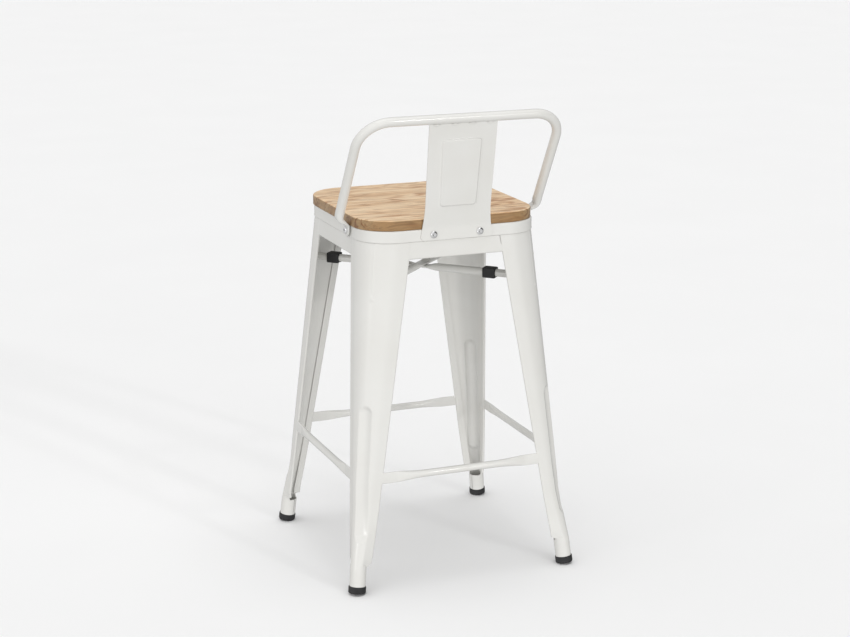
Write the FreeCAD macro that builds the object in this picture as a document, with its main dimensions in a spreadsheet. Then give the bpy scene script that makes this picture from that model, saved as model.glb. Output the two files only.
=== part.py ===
import FreeCAD, Part
import math
import os

import Sketcher

# Counter-height stool: a square steel frame of four splayed corner legs, a pressed seat pan with a
# wooden board on it, a ring of footrest tubes, a crossed brace under the seat and a low back made of
# a bent tube and a pressed splat.  Millimetres.  +Z is up, the origin is on the floor at the centre,
# the sitter looks along -Y, so the back is on the +Y side and the sitter's left is +X.

DIMENSIONS = {
    "gauge": 1.5,
    # frame: where the outer faces of the leg flanges lie, and how they change on the way down
    "frame_top": 575,
    "top_offset": 154.3,
    "splay": 0.0715,
    "flange_top": 77,
    "flange_taper": 0.0884,
    "corner_top": 59,
    "corner_taper": 0.0855,
    "hem_depth": 5,
    "hem_strip": 12,
    "flange_end": 43,
    # the ridge of a leg kicks outwards over its lowest part
    "kick_start": 150,
    "kick": 6,
    # pressed flute along the ridge
    "flute_low": 90,
    "flute_high": 312,
    "flute_end": 14,
    "flute_half": 10,
    "flute_depth": 2.5,
    # rolled tube foot and its rubber cap
    "foot_radius": 13.5,
    "foot_offset": 187.3,
    "foot_seam": 2,
    "cap_radius": 14.6,
    "cap_height": 12,
    "cap_floor": 4,
    "cap_edge": 1.2,
    # seat pan and board
    "pan_half": 155,
    "pan_corner": 59,
    "rim_height": 19.5,
    "lip": 12,
    "pan_edge": 1.2,
    "board_half": 155.6,
    "board_corner": 62,
    "board_thickness": 17.3,
    "board_shift_x": 1.2,
    "board_shift_y": -2,
    "board_edge": 1.8,
    "board_screw_spot": 105,
    "board_screw_radius": 2,
    "board_screw_length": 14,
    "board_screw_head": 4.4,
    "board_hole_depth": 13,
    # aprons
    "apron_height": 28.4,
    "apron_depth": 10,
    # footrest tubes
    "footrest_height": 191,
    "footrest_radius": 6,
    "footrest_wall": 1.2,
    "footrest_flat_half": 9.2,
    "footrest_flat": 2.6,
    "footrest_flat_length": 24,
    "footrest_taper_length": 46,
    # crossed brace under the seat
    "brace_height": 497.6,
    "brace_radius": 6.5,
    "brace_wall": 1.2,
    "brace_gap": 1,
    "brace_flat_half": 9.2,
    "brace_flat": 3.6,
    "brace_flat_length": 26,
    "brace_taper_length": 16,
    "bumper_rear_left": 146,
    "bumper_rear_right": 126,
    "bumper_front_right": 146,
    "bumper_front_left": 164,
    "bumper_length": 22,
    "bumper_size": 17.5,
    "bumper_slot": 7,
    "bumper_edge": 1.5,
    # back hoop
    "hoop_radius": 7.8,
    "hoop_wall": 1.5,
    "hoop_top_z": 776,
    "hoop_top_y": 183,
    "hoop_half_top": 173.4,
    "hoop_half_low": 175.6,
    "hoop_lean": 31.3,
    "hoop_run": 198,
    "hoop_bend": 50,
    "tab_y": 70,
    "tab_top": 593.5,
    "tab_radius": 11.5,
    "tab_thickness": 3.2,
    # back splat
    "splat_sheet": 2,
    "splat_bend_z": 597,
    "splat_lean": 9.1,
    "splat_length": 173.6,
    "splat_half_top": 58.4,
    "splat_half_waist": 56.8,
    "splat_waist": 42,
    "splat_half_bend": 61.4,
    "splat_half_low": 64.5,
    "splat_low_z": 575.8,
    "splat_corner": 8,
    "panel_low": 35,
    "panel_high": 148,
    "panel_half_low": 31.6,
    "panel_half_high": 35,
    "panel_corner": 5,
    "panel_rise": 1.6,
    # dome-head screws and nuts of the back
    "bolt_radius": 3,
    "bolt_length": 14,
    "bolt_hole_radius": 3.25,
    "dome_radius": 6.3,
    "dome_height": 3.6,
    "socket_half": 2,
    "socket_depth": 2,
    "nut_half": 5,
    "nut_height": 5,
    "splat_bolt_x": 40.4,
    "back_bolt_z": 585.5,
}


class Size:
    """A length together with the expression that gives it from the sheet's cells."""

    def __init__(self, value, text):
        self.value = float(value)
        self.text = text

    def __add__(self, other):
        other = as_size(other)
        return Size(self.value + other.value, f"({self.text} + {other.text})")

    def __sub__(self, other):
        other = as_size(other)
        return Size(self.value - other.value, f"({self.text} - {other.text})")

    def __mul__(self, other):
        other = as_size(other)
        return Size(self.value * other.value, f"({self.text} * {other.text})")

    def __truediv__(self, other):
        other = as_size(other)
        return Size(self.value / other.value, f"({self.text} / {other.text})")

    def __neg__(self):
        return Size(-self.value, f"(-{self.text})")


def as_size(number):
    """A plain number as a Size."""
    return number if isinstance(number, Size) else Size(number, f"({number!r})")


def root(size):
    return Size(math.sqrt(size.value), f"sqrt({size.text})")


def sine(angle):
    """Sine of a Size that holds degrees."""
    return Size(math.sin(math.radians(angle.value)), f"sin({angle.text} * 1 deg)")


def cosine(angle):
    return Size(math.cos(math.radians(angle.value)), f"cos({angle.text} * 1 deg)")


class Sizes:
    """The driving dimensions: one attribute for each alias of the sheet."""

    def __init__(self, document):
        self.sheet = document.addObject("Spreadsheet::Sheet", "Sizes")
        for row, (name, number) in enumerate(DIMENSIONS.items(), start=1):
            self.sheet.set(f"A{row}", str(number))
            self.sheet.setAlias(f"A{row}", name)
            setattr(self, name, Size(number, f"Sizes.{name}"))


doc = FreeCAD.newDocument("stool")
S = Sizes(doc)
doc.recompute()

ZERO = as_size(0)
QUARTERS = {"rear_left": 0, "rear_right": 1, "front_right": 2, "front_left": 3}
SIDES = {"rear": 0, "right": 1, "front": 2, "left": 3}


# ---------------------------------------------------------------- drawing helpers

def new_body(label):
    body = doc.addObject("PartDesign::Body", label)
    body.Label = label
    return body


def origin_plane(body, role):
    return next(part for part in body.Origin.OriginFeatures if part.Role == role)


def bind(thing, path, size):
    thing.setExpression(path, size.text)


def place(thing, path, position=(ZERO, ZERO, ZERO), axis=FreeCAD.Vector(0, 0, 1), degrees=ZERO):
    """Sets a placement property and binds its position and angle to the sheet."""
    spot = FreeCAD.Vector(*[size.value for size in position])
    setattr(thing, path, FreeCAD.Placement(spot, FreeCAD.Rotation(axis, degrees.value)))
    for letter, size in zip("xyz", position):
        bind(thing, f"{path}.Base.{letter}", size)
    if degrees.value:
        thing.setExpression(f"{path}.Rotation.Angle", f"{degrees.text} * 1 deg")


def new_sketch(body, name, plane, position=(ZERO, ZERO, ZERO), degrees=ZERO):
    """A sketch on one of the body's origin planes, moved and tilted about the plane's own X."""
    sketch = body.newObject("Sketcher::SketchObject", name)
    sketch.AttachmentSupport = [(origin_plane(body, plane), "")]
    sketch.MapMode = "FlatFace"
    place(sketch, "AttachmentOffset", position, FreeCAD.Vector(1, 0, 0), degrees)
    return sketch


def bind_constraint(sketch, constraint, size):
    index = sketch.addConstraint(constraint)
    sketch.setExpression(f"Constraints[{index}]", size.text)


def pin_point(sketch, edge, end, x, y):
    """Holds a point of an edge at (x, y) from the sketch's origin."""
    bind_constraint(sketch, Sketcher.Constraint("DistanceX", -1, 1, edge, end, x.value), x)
    bind_constraint(sketch, Sketcher.Constraint("DistanceY", -1, 1, edge, end, y.value), y)


def arc_between(start, end, radius):
    """The short arc from start to end: it turns left for a positive radius, right for a negative."""
    if radius < 0:
        start, end = end, start
        radius = -radius
    along = end - start
    left = FreeCAD.Vector(-along.y, along.x, 0).normalize()
    rise = math.sqrt(max(radius ** 2 - (along.Length / 2) ** 2, 0))
    centre = (start + end) / 2 + left * rise
    first = math.atan2(start.y - centre.y, start.x - centre.x)
    last = math.atan2(end.y - centre.y, end.x - centre.x)
    circle = Part.Circle(centre, FreeCAD.Vector(0, 0, 1), radius)
    return Part.ArcOfCircle(circle, first, last)


def draw(sketch, corners, closed=True):
    """Draws corners [(x, y, radius of the edge that leaves it, or None for a line)]."""
    points = [FreeCAD.Vector(x.value, y.value, 0) for x, y, _ in corners]
    count = len(corners) if closed else len(corners) - 1
    ends = []
    for number in range(count):
        start, end = points[number], points[(number + 1) % len(points)]
        radius = corners[number][2]
        if radius is None:
            edge = sketch.addGeometry(Part.LineSegment(start, end))
            ends.append((edge, 1, 2))
        else:
            edge = sketch.addGeometry(arc_between(start, end, radius.value))
            ends.append((edge, 1, 2) if radius.value > 0 else (edge, 2, 1))
    for number in range(count - (0 if closed else 1)):
        edge, _, tail = ends[number]
        following, head, _ = ends[(number + 1) % count]
        sketch.addConstraint(Sketcher.Constraint("Coincident", edge, tail, following, head))
    for (x, y, _), (edge, head, _) in zip(corners, ends):
        pin_point(sketch, edge, head, x, y)
    if not closed:
        pin_point(sketch, ends[-1][0], ends[-1][2], corners[-1][0], corners[-1][1])
    for (_, _, radius), (edge, _, _) in zip(corners, ends):
        if radius is not None:
            size = radius if radius.value > 0 else -radius
            bind_constraint(sketch, Sketcher.Constraint("Radius", edge, size.value), size)
    return sketch


def draw_circle(sketch, x, y, radius):
    centre = FreeCAD.Vector(x.value, y.value, 0)
    circle = Part.Circle(centre, FreeCAD.Vector(0, 0, 1), radius.value)
    edge = sketch.addGeometry(circle)
    pin_point(sketch, edge, 3, x, y)
    bind_constraint(sketch, Sketcher.Constraint("Radius", edge, radius.value), radius)
    return sketch


def feature(body, kind, name, profile, **settings):
    made = body.newObject(f"PartDesign::{kind}", name)
    made.Profile = profile
    for setting, value in settings.items():
        if isinstance(value, Size):
            setattr(made, setting, value.value)
            bind(made, setting, value)
        else:
            setattr(made, setting, value)
    return made


def loft(body, kind, name, sections, ruled=True):
    made = body.newObject(f"PartDesign::{kind}", name)
    made.Profile = sections[0]
    made.Sections = sections[1:]
    made.Ruled = ruled
    return made


def fillet(body, name, wanted, radius):
    """Rounds the edges of the body's last feature that the test picks."""
    doc.recompute()
    base = body.Tip
    names = [f"Edge{n}" for n, edge in enumerate(base.Shape.Edges, start=1) if wanted(edge)]
    made = body.newObject("PartDesign::Fillet", name)
    made.Base = (base, names)
    made.Radius = radius.value
    bind(made, "Radius", radius)
    return made


def near(number, size, within=0.01):
    return abs(number - size.value) < within


# ---------------------------------------------------------------- outlines

def rounded_rectangle(half_x, half_y, corner, x=ZERO, y=ZERO):
    """Counter-clockwise outline with four round corners."""
    low_x, high_x = x - half_x, x + half_x
    low_y, high_y = y - half_y, y + half_y
    return [
        (low_x + corner, low_y, None),
        (high_x - corner, low_y, corner),
        (high_x, low_y + corner, None),
        (high_x, high_y - corner, corner),
        (high_x - corner, high_y, None),
        (low_x + corner, high_y, corner),
        (low_x, high_y - corner, None),
        (low_x, low_y + corner, corner),
    ]


def hexagon(half, x=ZERO, y=ZERO):
    """Hexagon whose flats are half away from the centre."""
    reach = half * (2 / math.sqrt(3))
    corners = []
    for step in range(6):
        angle = math.radians(60 * step)
        corners.append((x + reach * math.cos(angle), y + reach * math.sin(angle), None))
    return corners


# ---------------------------------------------------------------- frame lines

def face_offset(height):
    """Distance from the stool's axis to the outer face of a flange."""
    return S.top_offset + S.splay * (S.frame_top - height)


def flange_width(height):
    return S.flange_top - S.flange_taper * (S.frame_top - height)


def corner_radius(height):
    return S.corner_top - S.corner_taper * (S.frame_top - height)


def kick(height):
    """How far the ridge stands out beyond the flange planes."""
    if height.value >= S.kick_start.value:
        return ZERO
    share = (S.kick_start - height) / (S.kick_start - S.flange_end)
    return S.kick * share * share


def foot_centre(height):
    return S.foot_offset - S.splay * height


# ---------------------------------------------------------------- legs

def round_corner(centre, radius, half, depth, turn):
    """The two points on a leg's round corner where its flute starts and ends, and the radius of the
    edge between them.  turn is -1 on the outside and 1 on the inside; depth is None without a flute."""
    chord = root(radius * radius - half * half)
    far = centre + (chord + half) / math.sqrt(2)
    close = centre + (chord - half) / math.sqrt(2)
    if depth is None:
        return far, close, radius * turn
    bowl = (half * half + depth * depth) / (depth * 2)
    return far, close, bowl * -turn


def leg_section(height, half, depth):
    """Sheet section of a corner leg: hem, flange, round corner with a flute, flange, hem.
    A hem is the flange's edge folded right back, with a small gap between the two layers."""
    face = face_offset(height)
    edge = face - flange_width(height)
    radius = corner_radius(height)
    ridge = face + kick(height)
    centre = ridge - radius
    inner = radius - S.gauge
    back = face - S.hem_depth
    strip = edge + S.hem_strip
    far, close, middle = round_corner(centre, radius, half, depth, -1)
    far_in, close_in, middle_in = round_corner(centre, inner, half * inner / radius, depth, 1)
    return [
        (edge, face, None),
        (centre, ridge, -radius),
        (close, far, middle),
        (far, close, -radius),
        (ridge, centre, None),
        (face, edge, None),
        (back, edge, None),
        (back, strip, None),
        (back + S.gauge, strip, None),
        (back + S.gauge, edge + S.gauge, None),
        (face - S.gauge, edge + S.gauge, None),
        (ridge - S.gauge, centre, inner),
        (far_in, close_in, middle_in),
        (close_in, far_in, inner),
        (centre, ridge - S.gauge, None),
        (edge + S.gauge, face - S.gauge, None),
        (edge + S.gauge, back + S.gauge, None),
        (strip, back + S.gauge, None),
        (strip, back, None),
        (edge, back, None),
    ]


def make_leg(label, quarter):
    body = new_body(label)
    plain = S.flute_half * 0.6
    stations = [
        (S.frame_top, plain, None),
        (S.flute_high, plain, None),
        (S.flute_high - S.flute_end, S.flute_half, S.flute_depth),
        (S.kick_start, S.flute_half, S.flute_depth),
        (S.flute_low + S.flute_end, S.flute_half, S.flute_depth),
        (S.flute_low, plain, None),
        ((S.flute_low + S.flange_end) / 2, plain, None),
        (S.flange_end, plain, None),
    ]
    sections = []
    for number, (height, half, depth) in enumerate(stations):
        sketch = new_sketch(body, f"{label}_section_{number}", "XY_Plane", (ZERO, ZERO, height))
        sections.append(draw(sketch, leg_section(height, half, depth)))
    loft(body, "AdditiveLoft", f"{label}_sheet", sections)

    def rolled(kind, name, profile):
        """Runs a profile up the leg's slope from inside the rubber cap into the corner."""
        made = feature(body, kind, f"{label}_{name}", profile, Length=S.flange_end, UseCustomVector=True,
                       Direction=FreeCAD.Vector(-S.splay.value, -S.splay.value, 1))
        bind(made, "Direction.x", -S.splay)
        bind(made, "Direction.y", -S.splay)

    centre = foot_centre(S.cap_floor)
    ring = new_sketch(body, f"{label}_foot_ring", "XY_Plane", (ZERO, ZERO, S.cap_floor))
    draw_circle(ring, centre, centre, S.foot_radius)
    draw_circle(ring, centre, centre, S.foot_radius - S.gauge)
    rolled("Pad", "foot", ring)
    seam = new_sketch(body, f"{label}_foot_seam_outline", "XY_Plane", (ZERO, ZERO, S.cap_floor))
    side = S.foot_seam / (2 * math.sqrt(2))
    start = centre - (S.foot_radius - S.gauge * 2) / math.sqrt(2)
    end = centre - (S.foot_radius + S.gauge) / math.sqrt(2)
    draw(seam, [
        (start + side, start - side, None),
        (start - side, start + side, None),
        (end - side, end + side, None),
        (end + side, end - side, None),
    ])
    rolled("Pocket", "foot_seam", seam)
    place(body, "Placement", degrees=as_size(90 * quarter))
    return body


# ---------------------------------------------------------------- aprons

def make_apron(label, quarter):
    """A shallow pressed tray between two leg flanges, in the plane of their outer faces."""
    body = new_body(label)
    lean = Size(math.degrees(math.atan(S.splay.value)), f"(atan({S.splay.text}) / 1 deg)")
    slope = root(S.splay * S.splay + 1)
    length = S.apron_height * slope
    low = S.frame_top - S.apron_height
    half_top = face_offset(S.frame_top) - flange_width(S.frame_top)
    half_low = face_offset(low) - flange_width(low)

    def trapezium(inset):
        return [
            (-(half_low - inset), -(length - inset), None),
            (half_low - inset, -(length - inset), None),
            (half_top - inset, -inset, None),
            (-(half_top - inset), -inset, None),
        ]

    outside = draw(new_sketch(body, f"{label}_outline", "XZ_Plane"), trapezium(ZERO))
    feature(body, "Pad", f"{label}_block", outside, Length=S.apron_depth)
    inside = new_sketch(body, f"{label}_hollow_outline", "XZ_Plane", (ZERO, ZERO, S.gauge))
    draw(inside, trapezium(S.gauge))
    feature(body, "Pocket", f"{label}_hollow", inside, Length=S.apron_depth, Reversed=True)
    tilt = FreeCAD.Rotation(FreeCAD.Vector(1, 0, 0), lean.value)
    turn = FreeCAD.Rotation(FreeCAD.Vector(0, 0, 1), 90 * quarter)
    spot = turn.multVec(FreeCAD.Vector(0, S.top_offset.value, S.frame_top.value))
    body.Placement = FreeCAD.Placement(spot, turn * tilt)
    return body


# ---------------------------------------------------------------- seat

def hole_pattern(spot):
    return [(x * spot, y * spot) for x in (as_size(1), as_size(-1)) for y in (as_size(1), as_size(-1))]


def make_seat_pan():
    body = new_body("seat_pan")
    top = S.frame_top + S.rim_height

    def plate(name, lift, thickness, wall):
        """A rounded square plate, or a ring of that wall."""
        sketch = new_sketch(body, f"pan_{name}_outline", "XY_Plane", (ZERO, ZERO, lift))
        draw(sketch, rounded_rectangle(S.pan_half, S.pan_half, S.pan_corner))
        if wall is not None:
            half = S.pan_half - wall
            draw(sketch, rounded_rectangle(half, half, S.pan_corner - wall))
        feature(body, "Pad", f"pan_{name}", sketch, Length=thickness)

    plate("band", S.frame_top, S.rim_height, S.gauge)
    plate("top", top - S.gauge, S.gauge, None)
    plate("lip", S.frame_top, S.gauge, S.lip)

    def on_outer_edge(edge):
        box = edge.BoundBox
        flat = box.ZLength < 0.01
        outside = max(abs(box.XMin), abs(box.XMax), abs(box.YMin), abs(box.YMax))
        return flat and near(outside, S.pan_half) and (near(box.ZMin, top) or near(box.ZMin, S.frame_top))

    fillet(body, "pan_edges", on_outer_edge, S.pan_edge)
    board_holes = new_sketch(body, "pan_board_holes", "XY_Plane", (ZERO, ZERO, top))
    for x, y in hole_pattern(S.board_screw_spot):
        draw_circle(board_holes, x, y, S.board_screw_radius + 0.3)
    feature(body, "Pocket", "pan_board_drilling", board_holes, Length=S.gauge * 2)
    rear_holes = new_sketch(body, "pan_rear_holes", "XZ_Plane", (ZERO, ZERO, -S.pan_half))
    for side in (1, -1):
        draw_circle(rear_holes, S.splat_bolt_x * side, S.back_bolt_z, S.bolt_hole_radius)
    feature(body, "Pocket", "pan_rear_drilling", rear_holes, Length=S.gauge * 2)
    side_holes = new_sketch(body, "pan_side_holes", "YZ_Plane")
    draw_circle(side_holes, S.tab_y, S.back_bolt_z, S.bolt_hole_radius)
    feature(body, "Pocket", "pan_side_drilling", side_holes, Length=S.pan_half * 3, Midplane=True)


def make_seat_board():
    body = new_body("seat_board")
    bottom = S.frame_top + S.rim_height
    top = bottom + S.board_thickness
    outline = new_sketch(body, "board_outline", "XY_Plane", (ZERO, ZERO, bottom))
    draw(outline, rounded_rectangle(S.board_half, S.board_half, S.board_corner,
                                    S.board_shift_x, S.board_shift_y))
    feature(body, "Pad", "board_blank", outline, Length=S.board_thickness)

    def on_rim(edge):
        box = edge.BoundBox
        return box.ZLength < 0.01 and (near(box.ZMin, top) or near(box.ZMin, bottom))

    fillet(body, "board_edges", on_rim, S.board_edge)
    holes = new_sketch(body, "board_pilot_holes", "XY_Plane", (ZERO, ZERO, bottom))
    for x, y in hole_pattern(S.board_screw_spot):
        draw_circle(holes, x, y, S.board_screw_radius)
    feature(body, "Pocket", "board_drilling", holes, Length=S.board_hole_depth, Reversed=True)


# ---------------------------------------------------------------- tubes that run straight

def tube_section(body, name, along, half_wide, half_tall, degrees=ZERO):
    """A round or flattened tube's section across X, at a distance along it."""
    sketch = new_sketch(body, name, "YZ_Plane", (ZERO, ZERO, along), degrees)
    smaller = half_wide if half_wide.value < half_tall.value else half_tall
    return draw(sketch, rounded_rectangle(half_wide, half_tall, smaller * 0.98))


def make_footrest_bar(label, quarter):
    """A round tube whose ends are pressed flat and welded to the hems of two legs."""
    body = new_body(label)
    height = S.footrest_height
    end = face_offset(height) - flange_width(height)
    flat_start = end - S.footrest_flat_length
    round_start = flat_start - S.footrest_taper_length
    hem_slope = S.splay + S.flange_taper
    slant = Size(math.degrees(math.atan(hem_slope.value)), f"(atan({hem_slope.text}) / 1 deg)")
    flat = (S.footrest_flat / 2, S.footrest_flat_half)
    whole = (S.footrest_radius, S.footrest_radius)
    stations = [
        (-end, flat, slant),
        (-flat_start, flat, ZERO),
        (-round_start, whole, ZERO),
        (round_start, whole, ZERO),
        (flat_start, flat, ZERO),
        (end, flat, -slant),
    ]
    sections = [
        tube_section(body, f"{label}_section_{number}", along, wide, tall, turn)
        for number, (along, (wide, tall), turn) in enumerate(stations)
    ]
    loft(body, "AdditiveLoft", f"{label}_tube", sections)
    inside = S.footrest_radius - S.footrest_wall
    bore = [
        tube_section(body, f"{label}_bore_{number}", along, inside, inside)
        for number, along in enumerate((-round_start, round_start))
    ]
    loft(body, "SubtractiveLoft", f"{label}_bore", bore)
    lean = FreeCAD.Rotation(FreeCAD.Vector(1, 0, 0), math.degrees(math.atan(S.splay.value)))
    turn = FreeCAD.Rotation(FreeCAD.Vector(0, 0, 1), 90 * quarter)
    face = face_offset(height).value - S.footrest_flat.value / 2
    spot = turn.multVec(FreeCAD.Vector(0, face, height.value))
    body.Placement = FreeCAD.Placement(spot, turn * lean)


def make_cross_brace(label, degrees, height):
    """A tube from leg corner to leg corner, pressed flat in the middle where it passes the other."""
    body = new_body(label)
    round_half = (S.brace_radius, S.brace_radius)
    flat_half = (S.brace_flat_half, S.brace_flat / 2)
    flat_end = S.brace_flat_length / 2
    round_start = flat_end + S.brace_taper_length
    bend = corner_radius(height)
    reach = (face_offset(height) - bend) * math.sqrt(2) + bend - S.gauge - S.brace_gap
    stations = [
        (-reach, round_half),
        (-round_start, round_half),
        (-flat_end, flat_half),
        (flat_end, flat_half),
        (round_start, round_half),
        (reach, round_half),
    ]
    sections = [
        tube_section(body, f"{label}_section_{number}", along, wide, tall)
        for number, (along, (wide, tall)) in enumerate(stations)
    ]
    loft(body, "AdditiveLoft", f"{label}_tube", sections)
    inner = [
        tube_section(body, f"{label}_bore_{number}", along, wide - S.brace_wall, tall - S.brace_wall)
        for number, (along, (wide, tall)) in enumerate(stations)
    ]
    loft(body, "SubtractiveLoft", f"{label}_bore", inner)
    place(body, "Placement", (ZERO, ZERO, height), degrees=as_size(degrees))


def make_bumper(label, degrees, height, spot):
    """A rubber block clipped over the brace from above, with a slot along its underside."""
    body = new_body(label)
    half = S.bumper_size / 2
    block = new_sketch(body, f"{label}_outline", "YZ_Plane", (ZERO, ZERO, spot))
    draw(block, rounded_rectangle(half, half, S.bumper_edge))
    draw_circle(block, ZERO, ZERO, S.brace_radius)
    feature(body, "Pad", f"{label}_block", block, Length=S.bumper_length, Midplane=True)
    slot = new_sketch(body, f"{label}_slot_outline", "YZ_Plane", (ZERO, ZERO, spot))
    draw(slot, rounded_rectangle(S.bumper_slot / 2, half / 2, S.bumper_edge, ZERO, -half))
    feature(body, "Pocket", f"{label}_slot", slot, Length=S.bumper_length * 2, Midplane=True)
    place(body, "Placement", (ZERO, ZERO, height), degrees=as_size(degrees))


# ---------------------------------------------------------------- feet

def make_foot_cap(label, quarter):
    body = new_body(label)

    def slanted(name, low, high, radii):
        """A round or ring section that follows the leg's slope."""
        centre = foot_centre(low)
        sketch = new_sketch(body, f"{label}_{name}_outline", "XY_Plane", (ZERO, ZERO, low))
        for radius in radii:
            draw_circle(sketch, centre, centre, radius)
        made = feature(body, "Pad", f"{label}_{name}", sketch, Length=high - low, UseCustomVector=True,
                       Direction=FreeCAD.Vector(-S.splay.value, -S.splay.value, 1))
        bind(made, "Direction.x", -S.splay)
        bind(made, "Direction.y", -S.splay)

    slanted("floor", ZERO, S.cap_floor, [S.cap_radius])
    slanted("wall", S.cap_floor, S.cap_height, [S.cap_radius, S.foot_radius])

    def rests_on_floor(edge):
        return near(edge.BoundBox.ZMax, ZERO)

    fillet(body, f"{label}_edge", rests_on_floor, S.cap_edge)
    place(body, "Placement", degrees=as_size(90 * quarter))


# ---------------------------------------------------------------- back

def make_back_hoop():
    body = new_body("back_hoop")
    lean = S.hoop_lean
    end_y = S.hoop_top_y - S.hoop_run * sine(lean)
    end_z = S.hoop_top_z - S.hoop_run * cosine(lean)
    spread = S.hoop_half_low - S.hoop_half_top
    side = root(spread * spread + S.hoop_run * S.hoop_run)
    across, down = spread / side, S.hoop_run / side
    tangent = S.hoop_bend * root((as_size(1) - across) / (across + 1))
    bend_x = S.hoop_half_top + tangent * across
    bend_y = -(tangent * down)
    path = new_sketch(body, "hoop_path", "XZ_Plane", (ZERO, S.hoop_top_z, -S.hoop_top_y), -lean)
    draw(path, [
        (S.hoop_half_low, -S.hoop_run, None),
        (bend_x, bend_y, S.hoop_bend),
        (S.hoop_half_top - tangent, ZERO, None),
        (-(S.hoop_half_top - tangent), ZERO, S.hoop_bend),
        (-bend_x, bend_y, None),
        (-S.hoop_half_low, -S.hoop_run, None),
    ], closed=False)
    ring = new_sketch(body, "hoop_section", "XY_Plane", (S.hoop_half_low, end_y, end_z), -lean)
    tube_outline = rounded_rectangle(S.hoop_radius, S.hoop_radius, S.hoop_radius * 0.98)
    draw(ring, tube_outline)
    draw_circle(ring, ZERO, ZERO, S.hoop_radius - S.hoop_wall)
    pipe = body.newObject("PartDesign::AdditivePipe", "hoop_tube")
    pipe.Profile = ring
    pipe.Spine = (path, [])

    for side_name, sign in (("left", 1), ("right", -1)):
        start = new_sketch(body, f"hoop_end_{side_name}", "XY_Plane",
                           (S.hoop_half_low * sign, end_y, end_z), -lean)
        draw(start, tube_outline)
        half = S.tab_thickness / 2
        neck = new_sketch(body, f"hoop_neck_{side_name}", "XY_Plane",
                          ((S.pan_half + half) * sign, S.tab_y, S.tab_top))
        draw(neck, rounded_rectangle(half, S.tab_radius, half * 0.98))
        loft(body, "AdditiveLoft", f"hoop_press_{side_name}", [start, neck])
        tab = new_sketch(body, f"hoop_tab_outline_{side_name}", "YZ_Plane", (ZERO, ZERO, S.pan_half * sign))
        front, rear = S.tab_y - S.tab_radius, S.tab_y + S.tab_radius
        draw(tab, [
            (rear, S.tab_top, None),
            (front, S.tab_top, None),
            (front, S.back_bolt_z, S.tab_radius),
            (S.tab_y, S.back_bolt_z - S.tab_radius, S.tab_radius),
            (rear, S.back_bolt_z, None),
        ])
        draw_circle(tab, S.tab_y, S.back_bolt_z, S.bolt_hole_radius)
        feature(body, "Pad", f"hoop_tab_{side_name}", tab, Length=S.tab_thickness, Reversed=sign < 0)


def make_back_splat():
    body = new_body("back_splat")
    foot = new_sketch(body, "splat_flange_outline", "XZ_Plane", (ZERO, ZERO, -S.pan_half))
    low_side = S.splat_half_low - S.splat_corner
    shoulder = S.splat_low_z + S.splat_corner
    draw(foot, [
        (-low_side, S.splat_low_z, None),
        (low_side, S.splat_low_z, S.splat_corner),
        (S.splat_half_low, shoulder, None),
        (S.splat_half_bend, S.splat_bend_z, None),
        (-S.splat_half_bend, S.splat_bend_z, None),
        (-S.splat_half_low, shoulder, S.splat_corner),
    ])
    for side in (1, -1):
        draw_circle(foot, S.splat_bolt_x * side, S.back_bolt_z, S.bolt_hole_radius)
    feature(body, "Pad", "splat_flange", foot, Length=S.splat_sheet, Reversed=True)

    def leaning(name, out):
        """A sketch in the plate's plane, out from its front face."""
        back = S.pan_half + out * cosine(S.splat_lean)
        lift = S.splat_bend_z - out * sine(S.splat_lean)
        return new_sketch(body, name, "XZ_Plane", (ZERO, lift, -back), -S.splat_lean)

    flare = S.splat_half_bend - S.splat_half_waist
    sweep = (S.splat_waist * S.splat_waist + flare * flare) / (flare * 2)
    plate = leaning("splat_plate_outline", ZERO)
    draw(plate, [
        (-S.splat_half_bend, ZERO, None),
        (S.splat_half_bend, ZERO, -sweep),
        (S.splat_half_waist, S.splat_waist, None),
        (S.splat_half_top, S.splat_length, None),
        (-S.splat_half_top, S.splat_length, None),
        (-S.splat_half_waist, S.splat_waist, -sweep),
    ])
    feature(body, "Pad", "splat_plate", plate, Length=S.splat_sheet, Reversed=True)

    def panel(sketch, inset):
        corner = S.panel_corner
        low_half, high_half = S.panel_half_low - inset, S.panel_half_high - inset
        low, high = S.panel_low + inset, S.panel_high - inset
        return draw(sketch, [
            (-(low_half - corner), low, None),
            (low_half - corner, low, corner),
            (low_half, low + corner, None),
            (high_half, high - corner, corner),
            (high_half - corner, high, None),
            (-(high_half - corner), high, corner),
            (-high_half, high - corner, None),
            (-low_half, low + corner, corner),
        ])

    raised = panel(leaning("splat_panel_outline", S.splat_sheet), ZERO)
    feature(body, "Pad", "splat_panel", raised, Length=S.panel_rise, Reversed=True)
    hollow = panel(leaning("splat_panel_hollow_outline", ZERO), S.panel_rise)
    feature(body, "Pocket", "splat_panel_hollow", hollow, Length=S.panel_rise)


# ---------------------------------------------------------------- fasteners

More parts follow.
